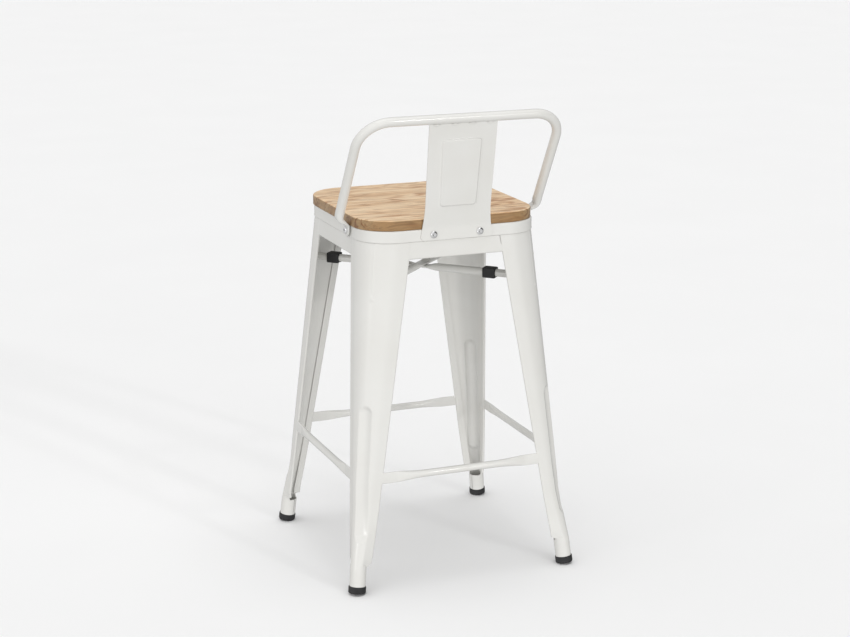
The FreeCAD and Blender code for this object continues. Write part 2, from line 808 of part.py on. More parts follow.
def add_dome_screws(body, name, plane, spots, seat, inwards):
    """Dome-head screws across a plane: seat is where the heads sit along its normal, and inwards says
    whether the shanks point along that normal."""
    def across(part, away, draw_one, kind, length, along_normal):
        sketch = new_sketch(body, f"{name}_{part}_outline", plane, (ZERO, ZERO, seat + away))
        for x, y in spots:
            draw_one(sketch, x, y)
        reverse = along_normal if kind == "Pocket" else not along_normal
        return feature(body, kind, f"{name}_{part}", sketch, Length=length, Reversed=reverse)

    head_end = -S.dome_height if inwards else S.dome_height
    across("shank", ZERO, lambda sketch, x, y: draw_circle(sketch, x, y, S.bolt_radius),
           "Pad", S.bolt_length, inwards)
    across("head", ZERO, lambda sketch, x, y: draw_circle(sketch, x, y, S.dome_radius),
           "Pad", S.dome_height, not inwards)
    place_along = {"XZ_Plane": lambda box: -box.YMin, "YZ_Plane": lambda box: box.XMin}[plane]
    crown = (seat + head_end).value

    def on_crown(edge):
        box = edge.BoundBox
        flat = min(box.XLength, box.YLength) < 0.01
        return flat and abs(place_along(box) - crown) < 0.01

    fillet(body, f"{name}_dome", on_crown, S.dome_height * 0.8)
    across("socket", head_end, lambda sketch, x, y: draw(sketch, hexagon(S.socket_half, x, y)),
           "Pocket", S.socket_depth, inwards)


def add_nuts(body, name, plane, spots, seat, along_normal):
    sketch = new_sketch(body, f"{name}_outline", plane, (ZERO, ZERO, seat))
    for x, y in spots:
        draw(sketch, hexagon(S.nut_half, x, y))
        draw_circle(sketch, x, y, S.bolt_radius)
    feature(body, "Pad", name, sketch, Length=S.nut_height, Reversed=not along_normal)


def fastener_body(label):
    body = new_body(label)
    body.AllowCompound = True
    return body


def make_back_fasteners():
    """The splat's bolts point along -Y, which is the normal of the XZ plane; the hoop's point inwards."""
    rear = [(S.splat_bolt_x, S.back_bolt_z), (-S.splat_bolt_x, S.back_bolt_z)]
    side = [(S.tab_y, S.back_bolt_z)]
    inner = S.pan_half - S.gauge
    add_dome_screws(fastener_body("splat_screws"), "splat_screw", "XZ_Plane", rear,
                    -(S.pan_half + S.splat_sheet), True)
    add_nuts(fastener_body("splat_nuts"), "splat_nut", "XZ_Plane", rear, -inner, True)
    screws, nuts = fastener_body("hoop_screws"), fastener_body("hoop_nuts")
    seat = S.pan_half + S.tab_thickness
    add_dome_screws(screws, "hoop_screw_left", "YZ_Plane", side, seat, False)
    add_dome_screws(screws, "hoop_screw_right", "YZ_Plane", side, -seat, True)
    add_nuts(nuts, "hoop_nut_left", "YZ_Plane", side, inner, False)
    add_nuts(nuts, "hoop_nut_right", "YZ_Plane", side, -inner, True)


def make_board_screws():
    body = fastener_body("board_screws")
    under = S.frame_top + S.rim_height - S.gauge
    for name, radius, length, upwards in (
        ("shank", S.board_screw_radius, S.board_screw_length, True),
        ("head", S.board_screw_head, S.board_screw_radius * 1.2, False),
    ):
        sketch = new_sketch(body, f"board_screw_{name}_outline", "XY_Plane", (ZERO, ZERO, under))
        for x, y in hole_pattern(S.board_screw_spot):
            draw_circle(sketch, x, y, radius)
        feature(body, "Pad", f"board_screw_{name}", sketch, Length=length, Reversed=not upwards)


# ---------------------------------------------------------------- run

def build():
    make_seat_board()
    make_seat_pan()
    for name, quarter in QUARTERS.items():
        make_leg(f"leg_{name}", quarter)
        make_foot_cap(f"foot_cap_{name}", quarter)
    for name, quarter in SIDES.items():
        make_apron(f"apron_{name}", quarter)
        make_footrest_bar(f"footrest_bar_{name}", quarter)
    lower, upper = S.brace_height, S.brace_height + S.brace_flat
    make_cross_brace("cross_brace_lower", 135, lower)
    make_cross_brace("cross_brace_upper", 45, upper)
    for name, quarter in QUARTERS.items():
        spot = getattr(S, f"bumper_{name}")
        make_bumper(f"brace_bumper_{name}", 45 + 90 * quarter, lower if quarter % 2 else upper, spot)
    make_back_hoop()
    make_back_splat()
    make_back_fasteners()
    make_board_screws()


def check():
    """Stops if any object of the document failed, and returns the bodies."""
    doc.recompute()
    failed = [thing.Label for thing in doc.Objects if {"Invalid", "Error"} & set(thing.State)]
    if failed:
        raise RuntimeError(f"these objects failed: {failed}")
    bodies = [thing for thing in doc.Objects if thing.TypeId == "PartDesign::Body"]
    for body in bodies:
        if body.Shape.isNull() or not body.Shape.isValid():
            raise RuntimeError(f"{body.Label} has no valid shape")
    return bodies


build()
os.makedirs("parts", exist_ok=True)
for body in check():
    body.Shape.exportStep(f"parts/{body.Label}.step")
    box = body.Shape.BoundBox
    print(f"{body.Label:26} {len(body.Shape.Solids)} solids {body.Shape.Volume:10.0f} mm3",
          f"x {box.XMin:.1f}..{box.XMax:.1f} y {box.YMin:.1f}..{box.YMax:.1f}",
          f"z {box.ZMin:.1f}..{box.ZMax:.1f}")
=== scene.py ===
import math

import bmesh
import bpy
from mathutils import Matrix, Vector


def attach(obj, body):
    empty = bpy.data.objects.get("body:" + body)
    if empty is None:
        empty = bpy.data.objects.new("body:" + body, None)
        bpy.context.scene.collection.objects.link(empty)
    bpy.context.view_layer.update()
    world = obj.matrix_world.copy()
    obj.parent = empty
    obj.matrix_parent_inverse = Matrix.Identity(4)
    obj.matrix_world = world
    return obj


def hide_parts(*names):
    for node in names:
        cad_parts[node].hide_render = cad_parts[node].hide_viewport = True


# A counter-height stool with a wooden seat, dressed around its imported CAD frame.  Shapes are worked
# out in millimetres in the frame's own axes: origin on the floor at the centre, +Z up, back on +Y.

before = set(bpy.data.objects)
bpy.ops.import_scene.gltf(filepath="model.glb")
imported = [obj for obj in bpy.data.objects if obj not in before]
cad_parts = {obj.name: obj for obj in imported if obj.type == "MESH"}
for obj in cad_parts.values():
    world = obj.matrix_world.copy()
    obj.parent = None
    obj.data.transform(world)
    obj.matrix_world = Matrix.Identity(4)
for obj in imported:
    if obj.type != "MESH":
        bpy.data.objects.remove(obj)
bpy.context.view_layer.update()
MM = 0.001

# ---------------------------------------------------------------- small maths


def clamp(t):
    return max(0.0, min(1.0, t))


def ease(t):
    t = clamp(t)
    return t * t * (3 - 2 * t)


def mix(a, b, t):
    return a + (b - a) * t


def spread(start, end, count):
    """count numbers from start to end."""
    return [mix(start, end, i / (count - 1)) for i in range(count)]


# ---------------------------------------------------------------- materials


class Nodes:
    """Short names for building one material's node tree."""

    def __init__(self, name):
        self.material = bpy.data.materials.new(name)
        self.material.use_nodes = True
        self.tree = self.material.node_tree
        self.shader = self.tree.nodes["Principled BSDF"]
        coordinates = self.tree.nodes.new("ShaderNodeTexCoord")
        self.position = coordinates.outputs["Object"]
        self.facing = coordinates.outputs["Normal"]

    def add(self, kind, inputs=None, **settings):
        node = self.tree.nodes.new("ShaderNode" + kind)
        for key, value in settings.items():
            setattr(node, key, value)
        for key, value in (inputs or {}).items():
            self.join(value, node.inputs[key])
        return node

    def join(self, value, socket):
        if isinstance(value, bpy.types.NodeSocket):
            self.tree.links.new(value, socket)
        else:
            socket.default_value = value

    def stretched(self, scale, source=None):
        node = self.add("Mapping", {"Vector": source or self.position})
        node.inputs["Scale"].default_value = scale
        return node.outputs["Vector"]

    def noise(self, vector, scale, detail=4.0, roughness=0.5, distortion=0.0):
        node = self.add("TexNoise", {"Vector": vector, "Scale": scale, "Detail": detail,
                                     "Roughness": roughness, "Distortion": distortion})
        return node.outputs["Fac"]

    def ramp(self, value, stops):
        """stops are (place, colour or grey level)."""
        node = self.add("ValToRGB", {"Fac": value})
        elements = node.color_ramp.elements
        for index, (place, colour) in enumerate(stops):
            element = elements[index] if index < 2 else elements.new(place)
            element.position = place
            grey = isinstance(colour, (int, float))
            element.color = (colour, colour, colour, 1) if grey else (*colour, 1)
        return node.outputs["Color"]

    def blend(self, kind, amount, first, second):
        node = self.add("Mix", data_type="RGBA", blend_type=kind)
        self.join(amount, node.inputs["Factor"])
        self.join(first, node.inputs["A"])
        self.join(second, node.inputs["B"])
        return node.outputs["Result"]

    def span(self, value, low, high):
        node = self.add("MapRange", {"Value": value, "To Min": low, "To Max": high})
        return node.outputs["Result"]

    def combine(self, operation, first, second):
        node = self.add("VectorMath", {0: first, 1: second}, operation=operation)
        return node.outputs["Vector"]

    def bump(self, height, strength, distance, normal=None):
        inputs = {"Height": height, "Strength": strength, "Distance": distance}
        if normal is not None:
            inputs["Normal"] = normal
        return self.add("Bump", inputs).outputs["Normal"]

    def finish(self, **inputs):
        for key, value in inputs.items():
            self.join(value, self.shader.inputs[key.replace("_", " ")])
        return self.material


def powder_coat(name, colour):
    """Satin off-white powder coat: a faint mottle, the fine dimples of the coating, soft gloss."""
    n = Nodes(name)
    mottle = n.noise(n.position, 14, 3)
    r, g, b = colour
    tone = n.ramp(mottle, [(0.3, (r * 0.965, g * 0.96, b * 0.95)), (0.7, (r, g, b))])
    peel = n.noise(n.position, 620, 2, 0.45)
    dust = n.noise(n.position, 60, 4, 0.6)
    rough = n.span(dust, 0.25, 0.28)
    ripple = n.bump(peel, 0.07, 0.0003)
    return n.finish(Base_Color=tone, Roughness=rough, Normal=ripple, Specular_IOR_Level=0.5,
                    Coat_Weight=0.45, Coat_Roughness=0.10)


def varnished_wood(name):
    """Light brown wood with its grain along X.

    It has a pale figure, growth rings that show in patches, long dark streaks and fine pores. Its sides
    and underside are darker by their facing: partly end grain, partly painted shade.
    """
    n = Nodes(name)
    drift = n.noise(n.stretched((2.5, 11.0, 11.0)), 1.0, 3, 0.5)
    sway = n.combine("MULTIPLY", drift, (0.0, 0.10, 0.10))
    warped = n.combine("ADD", n.position, sway)
    broad = n.noise(n.stretched((2.2, 26.0, 26.0), warped), 1.0, 4, 0.55)
    rings = n.noise(n.stretched((3.4, 25.0, 25.0), warped), 1.0, 3, 0.45)
    lines = n.noise(n.stretched((4.5, 110.0, 110.0), warped), 1.0, 3, 0.60)
    fine = n.noise(n.stretched((9.0, 330.0, 330.0), warped), 1.0, 3, 0.6)
    pores = n.noise(n.stretched((34.0, 1100.0, 1100.0)), 1.0, 2, 0.5)
    patches = n.noise(n.stretched((9.0, 30.0, 30.0)), 1.0, 2, 0.5)
    base = n.ramp(broad, [(0.34, (0.80, 0.540, 0.300)), (0.50, (0.91, 0.660, 0.405)),
                          (0.66, (0.96, 0.740, 0.485))])
    dark, pale = (0.60, 0.43, 0.29), (1.0, 1.0, 1.0)
    arches = n.ramp(rings, [(0.345, pale), (0.36, dark), (0.385, dark), (0.40, pale),
                            (0.462, pale), (0.475, dark), (0.495, dark), (0.508, pale),
                            (0.565, pale), (0.58, dark), (0.60, dark), (0.615, pale)])
    arched = n.ramp(patches, [(0.42, 0.10), (0.54, 1.0)])
    streak = n.ramp(lines, [(0.36, (0.66, 0.50, 0.37)), (0.44, (0.88, 0.80, 0.70)), (0.50, 1.0)])
    thread = n.ramp(fine, [(0.38, 0.62), (0.56, 1.0)])
    pits = n.ramp(pores, [(0.33, 0.55), (0.47, 1.0)])
    upward = n.add("SeparateXYZ", {"Vector": n.facing}).outputs["Z"]
    tone = n.blend("MULTIPLY", n.span(upward, 0.30, 0.80), base, streak)
    tone = n.blend("MULTIPLY", arched, tone, arches)
    tone = n.blend("MULTIPLY", 0.65, tone, thread)
    tone = n.blend("MULTIPLY", 0.30, tone, pits)
    # painted shade, partly end grain: faces turned away from up are darkened, down to about 0.4 on sides and
    # underside
    edge = n.ramp(upward, [(0.35, (0.405, 0.340, 0.250)), (0.85, 1.0)])
    tone = n.blend("MULTIPLY", 1.0, tone, edge)
    rough = n.span(lines, 0.50, 0.36)
    relief = n.bump(pits, 0.20, 0.0004, n.bump(thread, 0.14, 0.0005))
    return n.finish(Base_Color=tone, Roughness=rough, Normal=relief, Coat_Weight=0.12,
                    Coat_Roughness=0.30)


def moulded_rubber(name):
    n = Nodes(name)
    grain = n.noise(n.position, 900, 3, 0.6)
    smear = n.noise(n.position, 70, 4, 0.6)
    tone = n.ramp(smear, [(0.35, (0.010, 0.010, 0.011)), (0.75, (0.030, 0.030, 0.031))])
    return n.finish(Base_Color=tone, Roughness=n.span(smear, 0.55, 0.75),
                    Normal=n.bump(grain, 0.25, 0.0003))


def plated(name, colour, low, high):
    """Polished or zinc plating, with faint turning marks and smears."""
    n = Nodes(name)
    smear = n.noise(n.position, 240, 4, 0.6)
    marks = n.noise(n.stretched((1.0, 6.0, 1.0)), 900, 2)
    tone = n.blend("MULTIPLY", 0.35, (*colour, 1), n.ramp(smear, [(0.35, 0.7), (0.6, 1.0)]))
    return n.finish(Base_Color=tone, Metallic=1.0, Roughness=n.span(smear, low, high),
                    Normal=n.bump(marks, 0.08, 0.0002))


PAINT = powder_coat("off_white_powder_coat", (0.70, 0.695, 0.668))
WOOD = varnished_wood("varnished_light_wood")
RUBBER = moulded_rubber("black_rubber")
CHROME = plated("polished_chrome", (0.84, 0.84, 0.84), 0.03, 0.09)
ZINC = plated("zinc_plate", (0.56, 0.57, 0.58), 0.28, 0.45)

# ---------------------------------------------------------------- meshes


class Shell:
    """Points and faces of one piece, joined where points coincide when it is built."""

    def __init__(self):
        self.points = []
        self.faces = []
        self.creases = []

    def grid(self, rows, closed=False, sharp=()):
        """A skin over rows of points. sharp holds the numbers of the rows whose edges stay crisp."""
        base, count = len(self.points), len(rows[0])
        for row in rows:
            self.points.extend(row)
        steps = count if closed else count - 1
        for i in range(len(rows) - 1):
            for j in range(steps):
                a, b = base + i * count + j, base + i * count + (j + 1) % count
                self.faces.append((a, b, b + count, a + count))
        for i in sharp:
            for j in range(steps):
                self.creases.append((base + i * count + j, base + i * count + (j + 1) % count))

    def cap(self, ring):
        base = len(self.points)
        self.points.extend(ring)
        self.faces.append(tuple(range(base, base + len(ring))))

    def sheet(self, outer, inner):
        """A sheet with a thickness: two skins and the edge between them."""
        self.grid(outer)
        self.grid(inner)
        for near, far in ((outer[0], inner[0]), (outer[-1], inner[-1])):
            self.grid([near, far])
        for j in (0, -1):
            self.grid([[row[j] for row in outer], [row[j] for row in inner]])

    def tube(self, rings, sharp=()):
        """A closed skin through rings, with both ends capped."""
        self.grid(rings, closed=True, sharp=sharp)
        self.cap(rings[0])
        self.cap(rings[-1])

    def build(self, name, material, slot, nodes, turn=0.0, crisp=32.0):
        """Makes the object, turned about Z, that stands for the named CAD nodes."""
        mesh = bpy.data.meshes.new(name)
        spin = Matrix.Rotation(math.radians(turn), 4, "Z")
        mesh.from_pydata([spin @ (Vector(p) * MM) for p in self.points], [], self.faces)
        creases = [(Vector(self.points[a]), Vector(self.points[b])) for a, b in self.creases]
        bm = bmesh.new()
        bm.from_mesh(mesh)
        bmesh.ops.remove_doubles(bm, verts=bm.verts, dist=2e-6)
        bmesh.ops.dissolve_degenerate(bm, edges=bm.edges, dist=1e-6)
        bmesh.ops.recalc_face_normals(bm, faces=bm.faces)
        bm.to_mesh(mesh)
        bm.free()
        mesh.polygons.foreach_set("use_smooth", [True] * len(mesh.polygons))
        mesh.set_sharp_from_angle(angle=math.radians(crisp))
        if creases:
            middles = {tuple(round(c, 2) for c in spin @ ((a + b) / 2)) for a, b in creases}
            for edge in mesh.edges:
                a, b = (mesh.vertices[v].co for v in edge.vertices)
                if tuple(round(c, 2) for c in (a + b) / (2 * MM)) in middles:
                    edge.use_edge_sharp = True
        mesh.materials.append(material)
        piece = bpy.data.objects.new(name, mesh)
        bpy.context.scene.collection.objects.link(piece)
        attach(piece, "root")
        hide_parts(*nodes)


def rounded_square(half, radius, z, x=0.0, y=0.0):
    """A level ring of points with round corners, always the same number of them."""
    corner_steps, side_steps = 18, 6
    ring = []
    reach = half - radius
    for quarter in range(4):
        turn = math.radians(90 * quarter)
        c, s = math.cos(turn), math.sin(turn)
        local = [(half, mix(-reach, reach, i / side_steps)) for i in range(side_steps)]
        for i in range(corner_steps):
            angle = math.radians(90 * i / corner_steps)
            local.append((reach + radius * math.cos(angle), reach + radius * math.sin(angle)))
        ring.extend((x + c * u - s * v, y + s * u + c * v, z) for u, v in local)
    return ring


def rounding(radius, steps):
    """A quarter round as (inset, drop), from the flat surface to the wall."""
    angles = [math.radians(90 * i / steps) for i in range(steps + 1)]
    return [(radius * (1 - math.sin(a)), radius * (1 - math.cos(a))) for a in angles]


def circle(count, start=0.0):
    """Angles all round, in radians."""
    return [2 * math.pi * (i + start) / count for i in range(count)]


def stadium(wide, tall):
    """A round or flattened section of these half sizes: (across, up) points of a slot with round ends."""
    small = min(wide, tall)
    points = []
    for angle in circle(32, 0.5):
        c, s = math.cos(angle), math.sin(angle)
        u = small * c + math.copysign(wide - small, c)
        v = small * s + math.copysign(tall - small, s)
        points.append((u, v))
    return points


def placed(section, centre, across, up):
    """A section set in space at a centre, along two directions."""
    return [tuple(centre + across * u + up * v) for u, v in section]


def round_line(corners):
    """Points along straight runs joined by arcs; corners are (point, radius)."""
    steps = 12
    points = [Vector(corners[0][0])]
    for (before, _), (here, radius), (after, _) in zip(corners, corners[1:], corners[2:]):
        before, here, after = Vector(before), Vector(here), Vector(after)
        a, b = (before - here).normalized(), (after - here).normalized()
        half = a.angle(b) / 2
        cut = radius / math.tan(half)
        centre = here + (a + b).normalized() * (radius / math.sin(half))
        start, end = here + a * cut - centre, here + b * cut - centre
        sweep = math.pi - 2 * half
        for t in spread(0, 1, steps + 1):
            arm = start * math.sin((1 - t) * sweep) + end * math.sin(t * sweep)
            points.append(centre + arm / math.sin(sweep))
    points.append(Vector(corners[-1][0]))
    return points


# ---------------------------------------------------------------- frame lines, close to the CAD

TOP = 575.0             # top of the legs
GAUGE = 1.5             # thickness of the sheet
EDGE_ROLL = 1.3         # rounding of the sheet's top edges
FACE_TOP, FACE_LEAN = 154.3, 0.0715
FLANGE_TOP, FLANGE_TAPER = 77.0, 0.0884
BEND_TOP, BEND_TAPER = 59.0, 0.078
HEM_DEPTH, HEM_STRIP = 4.2, 12.0
FLUTE_LOW, FLUTE_HIGH, FLUTE_DEPTH = 86.0, 313.0, 4.6
PIP_HEIGHT = 484.0      # the dimple on the corner, where its crease starts
KICK_TOP, KICK_SPAN = 130, 87
FLANGE_END = 43.0       # below this the leg is a rolled tube
FOOT_LOW, FOOT_RADIUS, FOOT_LEAN = 8.0, 13.5, 0.102
FOOTREST_HEIGHT = 191.0
PAN_TOP = TOP + 19.5
SCREW_HEIGHT = 585.5
LEGS = {"rear_left": 0, "rear_right": 1, "front_right": 2, "front_left": 3}
SIDES = {"rear": 0, "right": 1, "front": 2, "left": 3}


def face_at(z):
    """Distance of a side's face from the middle."""
    return FACE_TOP + FACE_LEAN * (TOP - z)


def flange_at(z):
    """Width of a leg's flange, from its edge to the corner."""
    return FLANGE_TOP - FLANGE_TAPER * (TOP - z)


def kick_share(z):
    """How far the leg has turned into its foot: 0 above, 1 at the tube."""
    return clamp((KICK_TOP - z) / KICK_SPAN) ** 1.2


def bend_at(z):
    """Radius of the leg's corner."""
    return BEND_TOP - BEND_TAPER * (TOP - z) - 4.0 * kick_share(z)


def foot_at(z):
    """Where the foot's leaning axis is, along both X and Y."""
    return 188.6 - FOOT_LEAN * z


def top_round(z):
    """How far the sheet's outer face rolls in at its top edge."""
    drop = min(TOP - z, EDGE_ROLL)
    return EDGE_ROLL - math.sqrt(EDGE_ROLL ** 2 - (EDGE_ROLL - drop) ** 2)


def pressed(z, arc):
    """How far the corner's face is pressed in, at a height and a distance along the arc from the ridge."""
    above, below = z - FLUTE_LOW, FLUTE_HIGH - z
    rise = ease(above / 13) * ease(below / 10)
    half = mix(11.2, 11.6, clamp(above / 60)) * math.sqrt(clamp(above / 12)) * math.sqrt(clamp(below / 12))
    across = abs(arc - 0.9 - 3.4 * clamp((180 - z) / 75)) / max(half, 0.5)
    flute = FLUTE_DEPTH * rise * (1 - across ** 2) if across < 1 else 0.0
    aside = arc - 3.0
    pip = -0.9 * (1 - ease(math.hypot(aside, z - PIP_HEIGHT) / 5.0))
    crease = -0.45 * (1 - ease(abs(aside) / 3.0)) * ease((z - PIP_HEIGHT) / 20)
    return flute + pip + crease


def leg_columns():
    """The stations across a leg: where each is on a section, and how low its edge hangs."""
    hem_end = FLANGE_END + 6
    side = [("hem", t, hem_end) for t in (0.0, 0.5, 1.0)]
    side += [("fold", t / 8, hem_end) for t in range(1, 8)]
    side += [("flange", t, FLANGE_END + 5 - 5 * t) for t in (0.0, 0.2, 0.4, 0.55, 0.7, 0.8, 0.88, 0.95)]
    arc = [("arc", t, FOOT_LOW) for t in spread(0.0, 1.0, 49)]
    return side, arc


def leg_point(kind, t, z):
    """A point of the outer face, on the rear flange's side of the corner or on the corner itself."""
    low = z < FLANGE_END
    face, ridge = face_at(z), face_at(z) + 5.4 * kick_share(z)
    radius = FOOT_RADIUS if low else bend_at(z)
    centre = foot_at(z) if low else ridge - radius
    if kind == "arc":
        angle = math.radians(90 * (1 - t))
        out = radius - (0.0 if low else pressed(z, -radius * (math.radians(45) - angle)))
        return centre + out * math.cos(angle), centre + out * math.sin(angle)
    edge = face - flange_at(z) + 2 * kick_share(z)
    bend = HEM_DEPTH / 2
    if kind == "hem":
        x, y = mix(edge + HEM_STRIP, edge + bend, t), face - HEM_DEPTH
    elif kind == "fold":
        angle = math.radians(180 * t)
        x, y = edge + bend - bend * math.sin(angle), face - bend - bend * math.cos(angle)
    else:
        x, y = mix(edge + bend, centre, t), mix(face, ridge, t)
    away = min(abs(centre - x), 7.0)
    dip = FOOT_RADIUS - math.sqrt(FOOT_RADIUS ** 2 - away ** 2)
    return x, y - dip * ease((FLANGE_END + 19 - z) / 19)


def outward(line, j):
    """Level direction square to a row of points, out of the sheet, at point j."""
    along = line[min(j + 1, len(line) - 1)] - line[max(j - 1, 0)]
    return Vector((-along.y, along.x, 0)).normalized()


def foot_wall(radius):
    """Rows round the rolled tube of the foot, from one side of its seam to the other."""
    rows = []
    for lift in spread(0, 1, 6):
        row = []
        for angle in spread(84, 205, 26) + spread(209.5, 366, 26):
            rim = 41.5 + 8 * clamp((abs(angle - 225) - 57) / 12)
            z = mix(FOOT_LOW, rim, lift)
            c = foot_at(z)
            turn = math.radians(angle)
            row.append((c + radius * math.cos(turn), c + radius * math.sin(turn), z))
        rows.append(row)
    return rows


def make_leg(name, quarter):
    """Folded corner sheet with hemmed edges, its lower end rolled into a tube."""
    side, arc = leg_columns()
    mirror = [(kind, t, low) for kind, t, low in reversed(side)]
    heights = [TOP, TOP - 0.1, TOP - 0.35, TOP - 0.75, TOP - EDGE_ROLL] + spread(TOP - 5, 500, 13)
    heights += spread(494, 470, 13) + spread(464, 318, 22) + spread(314, 290, 19) + spread(286, 112, 30)
    heights += spread(109, 80, 24) + spread(78, 46, 14) + spread(FLANGE_END, FOOT_LOW, 8)
    outer, inner = [], []
    for height in heights:
        line = []
        for number, (kind, t, low) in enumerate(side + arc + mirror):
            z = max(height, low)
            x, y = leg_point(kind, t, z)
            if number >= len(side) + len(arc):
                x, y = y, x
            line.append(Vector((x, y, z)))
        roll = top_round(line[0].z)
        outer.append([p - outward(line, j) * roll for j, p in enumerate(line)])
        inner.append([p - outward(line, j) * GAUGE for j, p in enumerate(line)])
    shell = Shell()
    shell.sheet(outer, inner)
    wall, bore = foot_wall(13.44), foot_wall(12.0)
    seam = len(wall[0]) // 2
    shell.sheet([row[:seam] for row in wall], [row[:seam] for row in bore])
    shell.sheet([row[seam:] for row in wall], [row[seam:] for row in bore])
    shell.build(f"leg_sheet_{name}", PAINT, "powder_coat", [f"leg_{name}"], 90 * quarter, crisp=50)


def make_cap(name, quarter):
    """Rubber cup square to the leaning foot, its inner edge on the floor."""
    profile = [(12.6, 0.0), (13.6, 0.25), (14.3, 0.9), (14.6, 1.9), (14.6, 9.9), (14.45, 11.0), (14.0, 11.8),
               (13.35, 12.0), (13.35, 5.0)]
    axis = Vector((-FOOT_LEAN, -FOOT_LEAN, 1)).normalized()
    level = Vector((1, -1, 0)).normalized()
    rise = axis.cross(level)
    base = Vector((foot_at(0), foot_at(0), profile[0][0] * abs(rise.z)))
    rings = [[base + axis * lift + (level * math.cos(a) + rise * math.sin(a)) * radius for a in circle(48)]
             for radius, lift in profile]
    shell = Shell()
    shell.tube(rings)
    shell.build(f"rubber_cap_{name}", RUBBER, "black_rubber", [f"foot_cap_{name}"], 90 * quarter, crisp=40)


def make_apron(name, quarter, open_end):
    """Sheet between two legs, flush with them, with its bottom edge folded in.

    It is welded over the legs' rounded edges, except for a short open seam at the top of one end.
    """
    low, bend = TOP - 28.4, 2.6
    seam_end, seam_gap, lap = TOP - 14, 0.7, 1.5
    fold = [(top_round(TOP - drop), TOP - drop) for drop in (0.0, 0.1, 0.35, 0.75, EDGE_ROLL)]
    fold += [(0.0, TOP - drop) for drop in (6, 12, 15, 17, 19)]
    fold += [(v, low + u) for u, v in rounding(bend, 6)]
    fold += [(6.0, low), (10.0, low)]
    outer = []
    for depth, z in fold:
        edge = face_at(z) - flange_at(z)
        closed = edge + lap + 0.5 * ease((TOP - 12 - z) / 5)
        opened = mix(edge - seam_gap, closed, ease((seam_end - z) / 4)) if open_end else closed
        outer.append([Vector((x, face_at(z) - depth, z)) for x in spread(-opened, closed, 9)])
    inner = []
    for i, row in enumerate(outer):
        along = outer[min(i + 1, len(outer) - 1)][0] - outer[max(i - 1, 0)][0]
        normal = Vector((0, -along.z, along.y)).normalized()
        inner.append([p - normal * GAUGE for p in row])
    shell = Shell()
    shell.sheet(outer, inner)
    for side, sign in ((0, 1), (-1, -1)):  # the sheet's cheeks, bent in along the legs
        cheek = [row[side] + Vector((sign * 2.0, -0.4, 0)) for row in outer[4:]]
        cheek.append(Vector((cheek[0].x, cheek[0].y - 10, cheek[0].z)))
        wall = [p + Vector((sign * GAUGE, 0, 0)) for p in cheek]
        shell.tube([cheek, wall])
    shell.build(f"apron_sheet_{name}", PAINT, "powder_coat", [f"apron_{name}"], 90 * quarter)


# ---------------------------------------------------------------- seat


def make_pan():
    """Pressed pan: flat top under the board, rolled shoulder, band, and a lip folded in below."""
    half, corner, shoulder = 155.0, 59.0, 1.8
    profile = [(40.0, PAN_TOP), (12.0, PAN_TOP), (3.0, PAN_TOP)]
    profile += [(u, PAN_TOP - v) for u, v in rounding(shoulder, 6)]
    profile += [(0.0, PAN_TOP - 6), (0.0, TOP + 4.0), (-0.25, TOP + 2.4), (-0.35, TOP + 1.4),
                (-0.2, TOP + 0.5), (0.3, TOP + 0.3), (2.2, TOP + 0.3), (3.0, TOP), (12.0, TOP),
                (12.0, TOP + GAUGE), (GAUGE, TOP + GAUGE), (GAUGE, PAN_TOP - 2.6),
                (2.6, PAN_TOP - GAUGE), (12.0, PAN_TOP - GAUGE), (40.0, PAN_TOP - GAUGE)]
    rings = [rounded_square(half - inset, max(corner - inset, 8.0), z) for inset, z in profile]
    shell = Shell()
    shell.tube(rings)
    shell.build("pan_pressing", PAINT, "powder_coat", ["seat_pan"], crisp=40)


def make_board():
    """Wooden seat with its edges rounded over, more above than below."""
    half, corner, low, high = 155.6, 62.0, PAN_TOP, PAN_TOP + 17.3
    under, over = 1.8, 2.4
    profile = [(30.0, low)] + [(u, low + v) for u, v in rounding(under, 6)]
    profile.append((0.0, (low + high) / 2))
    profile += [(u, high - v) for u, v in reversed(rounding(over, 8))]
    profile.append((30.0, high))
    rings = [rounded_square(half - inset, max(corner - inset, 8.0), z, 1.2, -2.0) for inset, z in profile]
    shell = Shell()
    shell.tube(rings)
    shell.build("seat_wood_board", WOOD, "seat_wood", ["seat_board"], crisp=40)


# ---------------------------------------------------------------- tubes


def make_footrest(name, quarter):
    """Round tube, pressed flat at both ends and welded to the legs' edges."""
    z, lap = FOOTREST_HEIGHT, 2.6
    end = face_at(z) - flange_at(z)
    stations = [(0.0, 1.3, 9.2), (24.0, 1.3, 9.2), (29.0, 2.2, 8.9), (38.0, 3.5, 8.1), (50.0, 4.8, 7.1),
                (62.0, 5.6, 6.3), (70.0, 6.0, 6.0), (end - 10, 6.0, 6.0)]
    tilt = math.atan(FACE_LEAN)
    out, up = Vector((0, math.cos(tilt), math.sin(tilt))), Vector((0, -math.sin(tilt), math.cos(tilt)))
    rings = []
    for sign, order in ((-1, stations), (1, list(reversed(stations)))):
        for inset, thick, tall in order:
            ring = []
            for u, v in stadium(thick, tall):
                reach = end - inset
                if inset == 0.0:  # cut along the leg's slanting edge
                    reach += lap - v * (FACE_LEAN + FLANGE_TAPER)
                ring.append(tuple(Vector((sign * reach, face_at(z) - EDGE_ROLL, z)) + out * u + up * v))
            rings.append(ring)
    shell = Shell()
    shell.tube(rings, sharp=(1, len(rings) - 2))
    shell.build(f"footrest_tube_{name}", PAINT, "powder_coat", [f"footrest_bar_{name}"], 90 * quarter,
                crisp=50)


